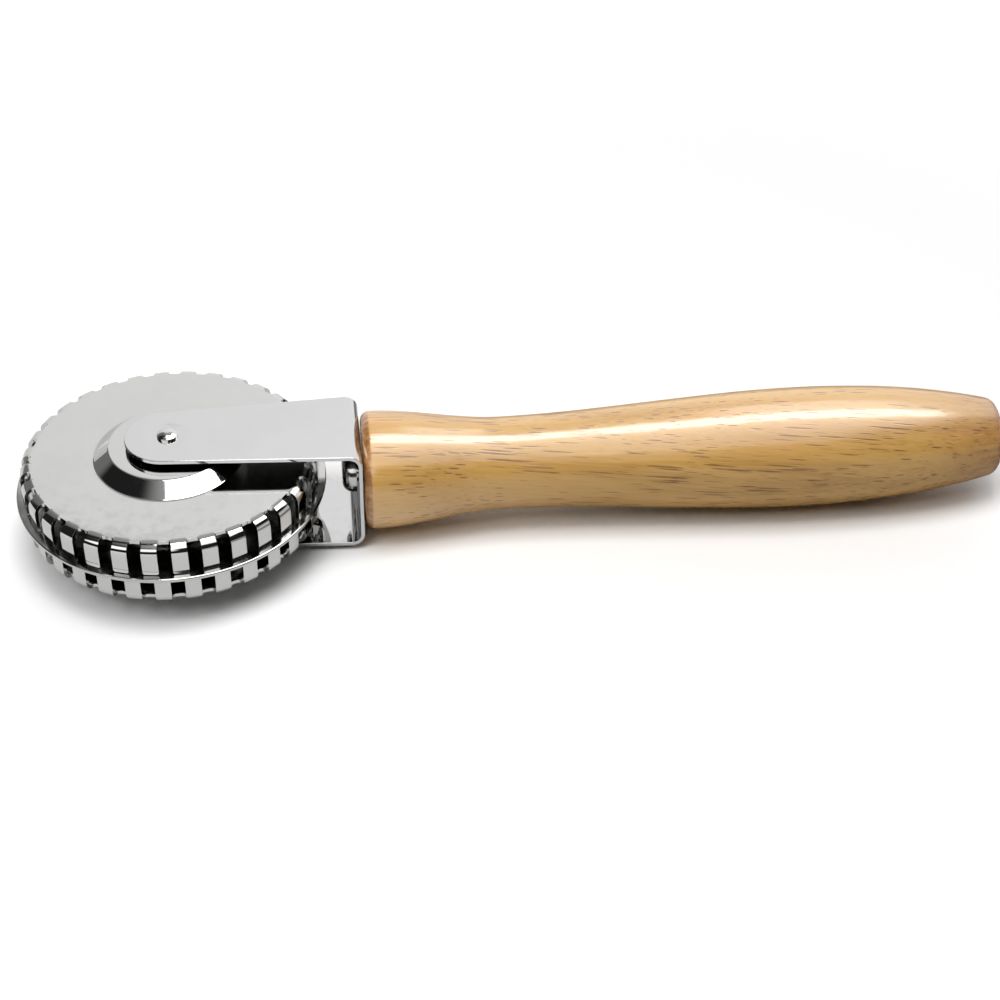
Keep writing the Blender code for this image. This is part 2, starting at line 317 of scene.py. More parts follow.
def span(tree, value, low, high, to_low=0.0, to_high=1.0, smooth=True):
    """A value from low to high made a value from to_low to to_high, and held there beyond."""
    inputs = {"Value": value, "From Min": low, "From Max": high, "To Min": to_low, "To Max": to_high}
    kind = "SMOOTHSTEP" if smooth else "LINEAR"
    return node(tree, "ShaderNodeMapRange", inputs, interpolation_type=kind).outputs[0]


def mixed(tree, factor, first, second):
    """Two colours mixed. A colour is a socket or three numbers."""
    made = node(tree, "ShaderNodeMix", {0: factor}, data_type="RGBA")
    for index, colour in ((6, first), (7, second)):
        if isinstance(colour, bpy.types.NodeSocket):
            tree.links.new(colour, made.inputs[index])
        else:
            made.inputs[index].default_value = (*colour, 1.0)
    return made.outputs[2]


def noise(tree, vector, scale, detail=2.0, roughness=0.5, distortion=0.0):
    inputs = {
        "Vector": vector,
        "Scale": scale,
        "Detail": detail,
        "Roughness": roughness,
        "Distortion": distortion,
    }
    return node(tree, "ShaderNodeTexNoise", inputs).outputs[0]


def stretched(tree, vector, scale):
    return node(tree, "ShaderNodeMapping", {"Vector": vector, "Scale": scale}).outputs[0]


def cell_distance(tree, vector):
    """How far a place is from the middle of its cell."""
    return node(tree, "ShaderNodeTexVoronoi", {"Vector": vector, "Scale": 1.0}).outputs["Distance"]


def new_finish(name, metallic=0.0):
    material = bpy.data.materials.new(name)
    material.use_nodes = True
    tree = material.node_tree
    shader = tree.nodes["Principled BSDF"]
    shader.inputs["Metallic"].default_value = metallic
    where = node(tree, "ShaderNodeTexCoord").outputs["Object"]
    return material, tree, shader, where


def fork_painted_shade(tree, where, underside, plate, rough):
    """The fork's colour and roughness, with painted shade on the faces that look down at the height of the
    upper arm's underside, which are also made rougher, and painted shade on the faces inside the bent end."""
    down = span(tree, axes(tree, facing(tree))[2], -0.9, -0.6, 1.0, 0.0)
    there = math_node(tree, "COMPARE", axes(tree, where)[2], underside, 0.0004)
    # Painted shade under the upper arm: these downward faces are darkened, and also made rougher
    shaded_underside = product(tree, down, there)
    plate = mixed(tree, shaded_underside, plate, UNDERSIDE_PAINTED_SHADE)
    rough = math_node(tree, "MAXIMUM", rough, product(tree, shaded_underside, 0.30))
    # Painted shade on the faces inside the bent end, where the bridge meets the arms
    inward = span(tree, axes(tree, facing(tree))[0], -0.55, -0.20, 1.0, 0.0)
    at_end = span(tree, axes(tree, where)[0], END_INSIDE, END_INSIDE + END_FADE)
    return mixed(tree, product(tree, inward, at_end), plate, END_SHADE), rough


def fork_dished(tree, where, surface):
    """The fork's surface, with a faint dish in the arms round the rivet."""
    off = vector_node(tree, "SUBTRACT", where, axle)[0]
    flat = vector_node(tree, "MULTIPLY", off, (1, 1, 0))[0]
    away = vector_node(tree, "LENGTH", flat)["Value"]
    height = span(tree, away, DISH_INSIDE, DISH_OUTSIDE)
    inputs = {"Height": height, "Strength": 1.0, "Distance": DISH_DEPTH, "Normal": surface}
    return node(tree, "ShaderNodeBump", inputs).outputs[0]


def chrome(name, colour, polish, ripple, fork_underside=None):
    """Bright plate over pressed sheet, a little cloudy and faintly uneven, as polished sheet is. It is the
    fork's, with painted shade under the upper arm and inside the bent end, where the height of the upper arm's
    underside is given."""
    material, tree, shader, where = new_finish(name, metallic=1.0)
    cloud = noise(tree, where, 90.0, 4.0, 0.6)
    dull = tuple(0.975 * c for c in colour)
    plate = mixed(tree, span(tree, cloud, 0.35, 0.65), dull, colour)
    haze = noise(tree, where, 420.0, 3.0, 0.65)
    rough = span(tree, haze, 0.35, 0.7, *polish)
    waves = noise(tree, where, 160.0, 1.0, 0.4)
    inputs = {"Height": waves, "Strength": 1.0, "Distance": ripple}
    surface = node(tree, "ShaderNodeBump", inputs).outputs[0]
    if fork_underside is not None:
        plate, rough = fork_painted_shade(tree, where, fork_underside, plate, rough)
        surface = fork_dished(tree, where, surface)
    tree.links.new(plate, shader.inputs["Base Color"])
    tree.links.new(rough, shader.inputs["Roughness"])
    tree.links.new(surface, shader.inputs["Normal"])
    return material


def lacquered_wood():
    """Pale wood with dark vessels, under a thick clear lacquer. The grain runs down the handle at a slant."""
    material, tree, shader, where = new_finish("lacquered_wood")
    x, y, z = axes(tree, where)
    run = math_node(tree, "SMOOTH_MAX", math_node(tree, "SUBTRACT", x, SLANT_FROM), 0.0, SLANT_EASE)
    sway = product(tree, noise(tree, stretched(tree, where, (30, 60, 60)), 1.0, 2.0), 0.0016)
    across = math_node(tree, "MULTIPLY_ADD", run, SLANT_ACROSS, math_node(tree, "ADD", y, sway))
    upright = math_node(tree, "MULTIPLY_ADD", run, SLANT_UP, math_node(tree, "SUBTRACT", z, sway))
    grain = node(tree, "ShaderNodeCombineXYZ", {0: x, 1: across, 2: upright}).outputs[0]

    # Growth layers, seen as broad soft bands, and fine fibres within them
    layers = noise(tree, stretched(tree, grain, (14, 260, 190)), 1.0, 3.0, 0.55, 0.3)
    band = span(tree, layers, 0.40, 0.64)
    fibre = noise(tree, stretched(tree, grain, (90, 2600, 2600)), 1.0, 3.0, 0.6)
    blush = noise(tree, stretched(tree, grain, (22, 90, 90)), 1.0, 2.0)
    colour = mixed(tree, band, WOOD_PALE, WOOD_DEEP)
    colour = mixed(tree, span(tree, blush, 0.45, 0.75), colour, WOOD_BLUSH)
    colour = mixed(tree, span(tree, fibre, 0.30, 0.72, 0.0, 0.34), colour, WOOD_FIBRE)

    # Vessels, cut open as dark dashes along the sides and as dots on the two ends
    crowd = span(tree, layers, 0.34, 0.58, 0.17, 0.31)
    from_long = cell_distance(tree, stretched(tree, grain, (65, 1500, 1500)))
    from_fine = cell_distance(tree, stretched(tree, grain, (120, 2300, 2300)))
    vessel = span(tree, math_node(tree, "SUBTRACT", crowd, from_long), -0.015, 0.06)
    pore = math_node(tree, "SUBTRACT", product(tree, crowd, 0.9), from_fine)
    pore = span(tree, pore, -0.02, 0.08, 0.0, 0.6)
    dark = math_node(tree, "MAXIMUM", vessel, pore)
    depth = span(tree, noise(tree, where, 300.0), 0.3, 0.7, 0.50, 0.95)
    colour = mixed(tree, product(tree, dark, depth), colour, WOOD_VESSEL)

    # End grain drinks the lacquer and turns darker
    along = axes(tree, facing(tree))[0]
    end = span(tree, math_node(tree, "ABSOLUTE", along), 0.08, 0.35)
    specks = noise(tree, stretched(tree, where, (200, 900, 900)), 1.0, 3.0, 0.6)
    open_end = mixed(tree, span(tree, specks, 0.40, 0.62), END_GRAIN_DARK, END_GRAIN_PALE)
    colour = mixed(tree, end, colour, open_end)
    tree.links.new(colour, shader.inputs["Base Color"])
    tree.links.new(span(tree, fibre, 0.3, 0.7, 0.38, 0.50), shader.inputs["Roughness"])

    sunk = product(tree, dark, -1.0)
    grooves = node(tree, "ShaderNodeBump", {"Height": sunk, "Strength": 0.5, "Distance": 0.00006})
    tree.links.new(grooves.outputs[0], shader.inputs["Normal"])
    skin = noise(tree, stretched(tree, grain, (90, 420, 420)), 1.0, 2.0)
    flow = math_node(tree, "MULTIPLY_ADD", sunk, 0.25, skin)
    film = node(tree, "ShaderNodeBump", {"Height": flow, "Strength": 1.0, "Distance": 0.00005})
    tree.links.new(film.outputs[0], shader.inputs["Coat Normal"])
    shader.inputs["Coat Weight"].default_value = 1.0
    shader.inputs["Coat Roughness"].default_value = 0.17
    shader.inputs["Coat IOR"].default_value = 1.7
    shader.inputs["Specular IOR Level"].default_value = 0.6
    return material


# Wheel

def cup_height(radius, sheet=0.0):
    """Height of the cup's outer face at a radius, or of its inner face if sheet is the sheet's thickness."""
    start = TOOTH_RADIUS - CUP_BEND
    if radius <= start:
        return CUP_FACE - sheet
    bend = CUP_BEND - sheet
    return CUP_FACE - CUP_BEND + math.sqrt(max(bend**2 - (radius - start) ** 2, 0.0))


def tooth_sector():
    """One tooth with half a slot on each side, open where the next one begins. Its two skins are joined along
    the cut edges."""
    half_pitch = math.pi / TOOTH_COUNT
    bend_start = TOOTH_RADIUS - CUP_BEND
    slot_curve = arc((SLOT_END + SLOT_CORNER, SLOT_HALF - SLOT_CORNER), SLOT_CORNER, 90, 180, 5)
    slot_curve.append((SLOT_END, 0.0))
    slot_top = math.hypot(*slot_curve[0])
    columns = [("tooth", share) for share in TOOTH_COLUMNS]
    columns += [("web", point) for point in slot_curve[1:]]
    zone_rows = 4
    bend_rows = 8
    bend_from = math.degrees(math.acos((slot_top - bend_start) / CUP_BEND))
    bend_angles = [bend_from * (1 - i / bend_rows) for i in range(1, bend_rows + 1)]
    tip = DISC_FACE + SEAT_GAP
    straight_top = CUP_FACE - CUP_BEND

    def rows(column, sheet):
        """(radius, height) down one column of a skin."""
        kind, value = column
        end = slot_top if kind == "tooth" else math.hypot(*value)
        made = []
        for i in range(zone_rows + 1):
            radius = TOOTH_ROOT + (end - TOOTH_ROOT) * i / zone_rows
            lean = max(radius - bend_start, 0.0) / CUP_BEND
            radius -= sheet * lean
            made.append((radius, cup_height(radius, sheet)))
        if kind == "web":
            return made
        bend = CUP_BEND - sheet
        for degrees in bend_angles:
            a = math.radians(degrees)
            made.append((bend_start + bend * math.cos(a), straight_top + bend * math.sin(a)))
        side = (1 - value) * TOOTH_HALF
        lift = TIP_CORNER - math.sqrt(max(TIP_CORNER**2 - max(TIP_CORNER - side, 0.0) ** 2, 0.0))
        foot = tip + lift
        for share in TOOTH_ROWS:
            made.append((TOOTH_RADIUS - sheet, straight_top + (foot - straight_top) * share))
        return made

    def angle(column, radius):
        kind, value = column
        if kind == "tooth":
            return value * (half_pitch - math.asin(SLOT_HALF / radius))
        return half_pitch - math.asin(value[1] / radius)

    shape = bmesh.new()
    mirrored = [(column, -1) for column in reversed(columns[1:])] + [(column, 1) for column in columns]
    skins = []
    for sheet in (0.0, CUP_SHEET):
        grid = []
        for column, side in mirrored:
            line = []
            for radius, height in rows(column, sheet):
                a = side * angle(column, radius)
                line.append(shape.verts.new((radius * math.cos(a), radius * math.sin(a), height)))
            grid.append(line)
        skins.append(grid)
    for grid in skins:
        for left, right in zip(grid, grid[1:]):
            for i in range(min(len(left), len(right)) - 1):
                shape.faces.new((left[i], left[i + 1], right[i + 1], right[i]))
    outer, inner = skins
    edge_outer, edge_inner = [], []
    for (column, side), outer_line, inner_line in zip(mirrored, outer, inner):
        cut_rows = [len(outer_line) - 1]
        if column == ("tooth", 1.0):
            cut_rows = list(range(zone_rows, len(outer_line)))[::-side]
        edge_outer += [outer_line[i] for i in cut_rows]
        edge_inner += [inner_line[i] for i in cut_rows]
    for i in range(len(edge_outer) - 1):
        shape.faces.new((edge_outer[i], edge_inner[i], edge_inner[i + 1], edge_outer[i + 1]))
    roots = [[line[0] for line in grid] for grid in skins]
    return shape, roots


def wheel_rim_tree():
    """Geometry Nodes: the tooth given to it, repeated round Z, joined up and given its finish."""
    tree = bpy.data.node_groups.new("teeth_round_a_rim", "GeometryNodeTree")
    face = tree.interface
    face.new_socket("Geometry", in_out="INPUT", socket_type="NodeSocketGeometry")
    face.new_socket("Teeth", in_out="INPUT", socket_type="NodeSocketInt")
    face.new_socket("Join", in_out="INPUT", socket_type="NodeSocketFloat")
    face.new_socket("Finish", in_out="INPUT", socket_type="NodeSocketMaterial")
    face.new_socket("Geometry", in_out="OUTPUT", socket_type="NodeSocketGeometry")
    given = node(tree, "NodeGroupInput").outputs
    step = node(tree, "ShaderNodeMath", {0: math.tau, 1: given["Teeth"]}, operation="DIVIDE").outputs[0]
    number = node(tree, "GeometryNodeInputIndex").outputs[0]
    turn = node(tree, "ShaderNodeMath", {0: number, 1: step}, operation="MULTIPLY").outputs[0]
    turned = node(tree, "ShaderNodeCombineXYZ", {2: turn}).outputs[0]
    places = node(tree, "GeometryNodePoints", {"Count": given["Teeth"]}).outputs[0]
    inputs = {"Points": places, "Instance": given["Geometry"], "Rotation": turned}
    copies = node(tree, "GeometryNodeInstanceOnPoints", inputs).outputs[0]
    real = node(tree, "GeometryNodeRealizeInstances", {0: copies}).outputs[0]
    inputs = {"Geometry": real, "Distance": given["Join"]}
    joined = node(tree, "GeometryNodeMergeByDistance", inputs).outputs[0]
    inputs = {"Geometry": joined, "Material": given["Finish"]}
    dressed = node(tree, "GeometryNodeSetMaterial", inputs).outputs[0]
    node(tree, "NodeGroupOutput", {0: dressed})
    return tree


def set_inputs(modifier, **values):
    """Sets a tree's named inputs by their sockets' identifiers."""
    for item in modifier.node_group.interface.items_tree:
        if item.item_type == "SOCKET" and item.in_out == "INPUT" and item.name in values:
            modifier[item.identifier] = values[item.name]


def boss_wall():
    """(radius, height) down the boss's wall: straight, with the same rounding at its top and at its foot."""
    width = BOSS_FOOT - BOSS_TOP
    height = BOSS_FACE - CUP_FACE - 2 * BOSS_ROUND
    slope = math.degrees(math.atan2(height, width) + math.asin(2 * BOSS_ROUND / math.hypot(width, height)))
    top = arc((BOSS_TOP, BOSS_FACE - BOSS_ROUND), BOSS_ROUND, 90, 90 - slope, 6)
    foot = arc((BOSS_FOOT, CUP_FACE + BOSS_ROUND), BOSS_ROUND, 270 - slope, 270, 6)
    return top + foot


def boss_sector(shape, roots):
    """The middle of the cup for one tooth's share: face, boss wall, flat top and bore, in both skins."""
    half_pitch = math.pi / TOOTH_COUNT
    columns = 6
    hub_bore = BUSH_RADIUS + SEAT_GAP
    top_radii = (hub_bore, *BOSS_RINGS, BOSS_TOP - ROUND_MARGIN)
    face_radii = (BOSS_FOOT + ROUND_MARGIN, *FACE_RINGS)
    outer_line = [(radius, BOSS_FACE) for radius in top_radii] + boss_wall()
    outer_line += [(radius, CUP_FACE) for radius in face_radii]
    inner_line = []
    for i, (radius, height) in enumerate(outer_line):
        before = outer_line[max(i - 1, 0)]
        after = outer_line[min(i + 1, len(outer_line) - 1)]
        slope = Vector((after[0] - before[0], after[1] - before[1])).normalized()
        inner_line.append((radius + slope.y * CUP_SHEET, height - slope.x * CUP_SHEET))
    angles = [half_pitch * (2 * i / columns - 1) for i in range(columns + 1)]
    bores = []
    for line, root in zip((outer_line, inner_line), roots):
        grid = [[shape.verts.new((r * math.cos(a), r * math.sin(a), z)) for r, z in line] for a in angles]
        for left, right in zip(grid, grid[1:]):
            for i in range(len(line) - 1):
                shape.faces.new((left[i], left[i + 1], right[i + 1], right[i]))
        # The face's last strip, from these few columns to the many at the teeth's roots
        ends = [column[-1] for column in grid]
        root_angles = [math.atan2(v.co.y, v.co.x) for v in root]
        cuts = [0]
        for a in angles[1:-1]:
            cuts.append(min(range(len(root)), key=lambda n: abs(root_angles[n] - a)))
        cuts.append(len(root) - 1)
        for i in range(columns):
            far = root[cuts[i] : cuts[i + 1] + 1]
            shape.faces.new([ends[i + 1], ends[i], *far])
        bores.append([column[0] for column in grid])
    for i in range(columns):
        shape.faces.new((bores[0][i], bores[0][i + 1], bores[1][i + 1], bores[1][i]))


def crimp_wheel(name, turn, flip, finish):
    shape, roots = tooth_sector()
    boss_sector(shape, roots)
    bmesh.ops.recalc_face_normals(shape, faces=shape.faces)
    cup = new_piece(name + "_fine", shape)
    repeat = cup.modifiers.new("Teeth", "NODES")
    repeat.node_group = rim_tree
    set_inputs(repeat, Teeth=TOOTH_COUNT, Join=MERGE, Finish=finish)
    apply_modifiers(cup)
    shape = bmesh.new()
    shape.from_mesh(cup.data)
    bmesh.ops.recalc_face_normals(shape, faces=shape.faces)
    shape.to_mesh(cup.data)
    shape.free()
    cup.data.shade_smooth()
    round_edges(cup, TEETH_EDGE, segments=3)
    apply_modifiers(cup)
    if flip:
        cup.data.transform(Matrix.Rotation(math.pi, 4, "X"))
    cup.data.transform(Matrix.Rotation(turn, 4, "Z"))
    place(cup, "wheel", "chromed_steel", finish, name)


def cutting_disc():
    """The plain disc, with its rim broken all round."""
    hub_bore = BUSH_RADIUS + SEAT_GAP
    face = [(radius, DISC_FACE) for radius in (hub_bore, *DISC_RINGS)]
    profile = face + arc((DISC_RADIUS - DISC_EDGE, DISC_FACE - DISC_EDGE), DISC_EDGE, 90, 0, 4)
    profile += arc((DISC_RADIUS - DISC_EDGE, DISC_EDGE - DISC_FACE), DISC_EDGE, 0, -90, 4)
    profile += [(radius, -height) for radius, height in reversed(face)]
    disc = new_piece("cutting_disc_fine", turned_shape(profile, 256, closed=True))
    place(disc, "wheel", "chromed_steel", disc_steel, "cutting_disc")


def hub_bush():
    """The tube that clamps the wheel together, its two ends rolled over the bosses."""
    seat = BOSS_FACE + SEAT_GAP
    end = seat + BUSH_FLANGE
    roll = BUSH_FLANGE / 2
    top = [(BUSH_BORE, seat), *arc((BUSH_BORE + roll, end - roll), roll, 180, 90, 3)]
    top += [*arc((BUSH_FLANGE_RADIUS - roll, seat + roll), roll, 90, -90, 6), (BUSH_RADIUS, seat)]
    profile = top + [(radius, -height) for radius, height in reversed(top)]
    bush = new_piece("hub_bush_fine", turned_shape(profile, 64, closed=True))
    place(bush, "wheel", "chromed_steel", rivet_steel, "hub_bush")


# Fork, rivet and screw

def fork_plan():
    """The arms as seen from above: a round nose, widening to the bridge along its two tangents."""
    nose = ARM_NOSE_WIDTH / 2
    root = ARM_ROOT_WIDTH / 2
    centre = nose - ARM_NOSE_REACH
    spread = math.degrees(math.atan((root - nose) / (BRIDGE_INSIDE - FORK_BEND - centre)))
    outline = arc((centre, 0), nose, 90 + spread, 270 - spread, 48)
    straight = BRIDGE_INSIDE - FORK_BEND
    past = BRIDGE_INSIDE + 2 * CUT_ROOM
    return [(past, root), (straight, root), *outline, (straight, -root), (past, -root)]


def punch(radius, reach):
    """A round punch on Z that reaches as far up as down."""
    return turned_shape([(0, reach), (radius, reach), (radius, -reach), (0, -reach)], 64)


def fork():
    """Sheet bent round the wheel, with its outline and holes punched and its edges rounded by polishing."""
    middle = FORK_SHEET / 2
    bend = FORK_BEND + middle
    level = ARM_INSIDE + middle
    end = BRIDGE_INSIDE + middle
    start = -ARM_NOSE_REACH - CUT_ROOM
    path = [(start, level), *arc((end - bend, level - bend), bend, 90, 0, 16)]
    path += [*arc((end - bend, bend - level), bend, 0, -90, 16), (start, -level)]
    half = ARM_ROOT_WIDTH / 2 + CUT_ROOM
    shape = bmesh.new()
    rails = [[shape.verts.new((x, y, z)) for x, z in path] for y in (half, -half)]
    for i in range(len(path) - 1):
        shape.faces.new((rails[0][i], rails[0][i + 1], rails[1][i + 1], rails[1][i]))
    bent = new_piece("fork_fine", shape)
    sheet = bent.modifiers.new("Sheet", "SOLIDIFY")
    sheet.thickness = FORK_SHEET
    sheet.offset = 0
    sheet.use_even_offset = True

    reach = ARM_INSIDE + 2 * CUT_ROOM
    shape = bmesh.new()
    floor = [shape.verts.new((x, y, -reach)) for x, y in fork_plan()]
    lid = [shape.verts.new((x, y, reach)) for x, y in fork_plan()]
    shape.faces.new(floor)
    shape.faces.new(lid)
    for i in range(len(floor)):
        j = (i + 1) % len(floor)
        shape.faces.new((floor[i], floor[j], lid[j], lid[i]))
    bmesh.ops.recalc_face_normals(shape, faces=shape.faces)
    plan = new_piece("fork_plan", shape)
    rivet_bore = AXLE_RADIUS + SEAT_GAP
    rivet_hole = new_piece("rivet_hole", punch(rivet_bore, reach))
    screw_bore = SCREW_RADIUS + SEAT_GAP
    screw_hole = new_piece("screw_hole", punch(screw_bore, 2 * CUT_ROOM))
    screw_hole.data.transform(Matrix.Translation((end, 0, 0)) @ Matrix.Rotation(math.pi / 2, 4, "Y"))
    cut_by(bent, plan, "INTERSECT")
    cut_by(bent, rivet_hole)
    cut_by(bent, screw_hole)
    apply_modifiers(bent)
    clean(bent)
    round_edges(bent, PUNCHED_EDGE, angle=60)
    apply_modifiers(bent)
    for tool in (plan, rivet_hole, screw_hole):
        bpy.data.objects.remove(tool, do_unlink=True)
    place(bent, "frame", "chromed_steel", fork_chrome, "fork")


def axle_rivet():
    """The pin through both arms, with a low head on each. The heads sit down on the arms."""
    seat = ARM_INSIDE + FORK_SHEET + SEAT_GAP
    centre = seat + RIVET_HEAD_HEIGHT - RIVET_DOME
    lean = math.asin((RIVET_HEAD_RADIUS - RIVET_FLAT - RIVET_CORNER) / (RIVET_DOME - RIVET_CORNER))
    dome_end = 90 - math.degrees(lean)
    dome = arc((RIVET_FLAT, centre), RIVET_DOME, 90, dome_end, 12)
    inward = dome[-1][0] - RIVET_CORNER * math.sin(lean)
    under = dome[-1][1] - RIVET_CORNER * math.cos(lean)
    corner = arc((inward, under), RIVET_CORNER, dome_end, 0, 5)
    rim = seat - SEAT_GAP
    top = [(0, seat + RIVET_HEAD_HEIGHT), *dome, *corner[1:], (RIVET_HEAD_RADIUS, rim), (AXLE_RADIUS, rim)]
    profile = top + [(radius, -height) for radius, height in reversed(top)]
    rivet = new_piece("axle_rivet_fine", turned_shape(profile, 96))
    place(rivet, "frame", "chromed_steel", rivet_steel, "axle_rivet")


def handle_screw():
    """A pan-head screw with a cross recess that narrows as it goes in. Its head is inside the fork."""
    shoulder = (SCREW_HEAD_RADIUS - SCREW_HEAD_ROUND, SCREW_HEAD_HEIGHT - SCREW_HEAD_ROUND)
    head = [(0, SCREW_HEAD_HEIGHT), *arc(shoulder, SCREW_HEAD_ROUND, 90, 0, 14), (SCREW_HEAD_RADIUS, 0)]
    profile = [*head, (SCREW_RADIUS, 0), (SCREW_RADIUS, SCREW_TIP - SCREW_LENGTH), (0, -SCREW_LENGTH)]
    screw = new_piece("handle_screw_fine", turned_shape(profile, 64))
    cutters = []
    for angle in (math.pi / 4, -math.pi / 4):
        shape = bmesh.new()
        bmesh.ops.create_cube(shape, size=1)
        bmesh.ops.scale(shape, vec=(RECESS_LENGTH, RECESS_WIDTH, 2 * RECESS_DEPTH), verts=shape.verts)
        for vert in shape.verts:
            if vert.co.z < 0:
                vert.co.x *= RECESS_NARROWED[0]
                vert.co.y *= RECESS_NARROWED[1]
        bmesh.ops.rotate(shape, matrix=Matrix.Rotation(angle, 3, "Z"), verts=shape.verts)
        bmesh.ops.translate(shape, vec=(0, 0, SCREW_HEAD_HEIGHT), verts=shape.verts)
        cutters.append(new_piece("recess", shape))
        cut_by(screw, cutters[-1])
    apply_modifiers(screw)
    clean(screw)
    round_edges(screw, RECESS_EDGE, angle=50)
    apply_modifiers(screw)
    for tool in cutters:
        bpy.data.objects.remove(tool, do_unlink=True)
    seat = BRIDGE_INSIDE - SEAT_GAP
    screw.data.transform(Matrix.Translation((seat, 0, 0)) @ Matrix.Rotation(-math.pi / 2, 4, "Y"))
    place(screw, "frame", "chromed_steel", screw_steel, "handle_screw")


# Handle

def handle_profile():
    """(length, radius) along the handle, from the rim of its pilot hole at the front to its butt."""
    pilot = SCREW_RADIUS + SEAT_GAP
    front = arc((FRONT_ROUND, FRONT_RADIUS - FRONT_ROUND), FRONT_ROUND, 180, 90, 12)
    waist = (WAIST_AT, WAIST_RADIUS)
    belly = (BELLY_AT, BELLY_RADIUS)
    butt = (HANDLE_LENGTH - BUTT_CROWN - BUTT_ROUND, BUTT_RADIUS)
    lean = math.atan(BUTT_SLOPE)
    centre = (butt[0] - BUTT_ROUND * math.sin(lean), butt[1] - BUTT_ROUND * math.cos(lean))
    rounding = arc(centre, BUTT_ROUND, 90 - math.degrees(lean), BUTT_CROWN_ANGLE, 12)
    profile = [(PILOT_DEPTH, 0), (PILOT_DEPTH, pilot), (0, pilot), (0, FRONT_RING), *front]
    profile += ease(front[-1], waist, 0, 0, 28)
    profile += ease(waist, belly, 0, 0, 44)
    profile += ease(belly, butt, 0, -BUTT_SLOPE, 30)
    profile += rounding[1:]
    crown_slope = -math.tan(math.radians(BUTT_CROWN_ANGLE))
    crown = ease((rounding[-1][1], rounding[-1][0]), (BUTT_FLAT, HANDLE_LENGTH), crown_slope, 0, 8)
    profile += [(length, radius) for radius, length in crown]
    profile += [(HANDLE_LENGTH, 0)]
    return profile


def handle():
    profile = [(radius, -length) for length, radius in handle_profile()]
    grip = new_piece("handle_fine", turned_shape(profile, 128))
    grip.data.transform(Matrix.Translation((HANDLE_FRONT, 0, 0)) @ Matrix.Rotation(-math.pi / 2, 4, "Y"))
    place(grip, "frame", "lacquered_wood", wood, "handle")


# Studio

def light_ray(tree, *names):
    """1 for a ray of any of the named kinds."""
    path = node(tree, "ShaderNodeLightPath").outputs
    total = path[names[0]]
    for name in names[1:]:
        total = math_node(tree, "MAXIMUM", total, path[name])
    return total


def white_table():
    """A white table top, a little overexposed as in a catalogue picture, so that only the shadow shows on it.
    It glows far from the tool, and polished parts see it darker on the grip's side."""
    shape = bmesh.new()
    bmesh.ops.create_grid(shape, x_segments=1, y_segments=1, size=2.0)
    table = new_piece("table_top", shape)
    material = bpy.data.materials.new("white_table")
    material.use_nodes = True
    tree = material.node_tree
    tree.nodes.clear()
    where = node(tree, "ShaderNodeTexCoord").outputs["Object"]
    away = vector_node(tree, "LENGTH", where)["Value"]
    seen = light_ray(tree, "Is Camera Ray", "Is Transmission Ray")
    mirrored = light_ray(tree, "Is Glossy Ray")
    towards_grip = span(tree, axes(tree, where)[0], -0.03, 0.02)
    echo = mixed(tree, towards_grip, PAPER_IN_WHEEL, PAPER_IN_GRIP)
    paper = mixed(tree, seen, mixed(tree, mirrored, PAPER_LIT, echo), PAPER_SEEN)
    seen_glow = product(tree, seen, span(tree, away, 0.13, 0.50))
    mirrored_glow = span(tree, away, 0.14, 0.45, 0.0, 0.5)
    strength = math_node(tree, "MULTIPLY_ADD", mirrored, mirrored_glow, seen_glow)
    glow = node(tree, "ShaderNodeEmission", {"Strength": strength}).outputs[0]
    cloth = node(tree, "ShaderNodeBsdfDiffuse", {"Color": paper}).outputs[0]
    both = node(tree, "ShaderNodeAddShader", {0: cloth, 1: glow}).outputs[0]
    node(tree, "ShaderNodeOutputMaterial", {"Surface": both})
    table.data.materials.append(material)


def softbox(name, radiance, x, y, only):
    """A soft lamp that hangs level over the table, with its sides at the two values of x and of y. It is the
    lamp's glow on polished parts (glossy) or the light that it throws (diffuse), and not both."""
    lamp = bpy.data.lights.new(name, "AREA")
    lamp.shape = "RECTANGLE"
    lamp.size = x[1] - x[0]
    lamp.size_y = y[1] - y[0]
    lamp.energy = radiance * math.pi * lamp.size * lamp.size_y
    hung = bpy.data.objects.new(name, lamp)
    bpy.context.scene.collection.objects.link(hung)
    hung.location = (sum(x) / 2, sum(y) / 2, LAMP_HEIGHT)
    hung.visible_camera = False
    hung.visible_diffuse = only == "diffuse"
    hung.visible_glossy = only == "glossy"


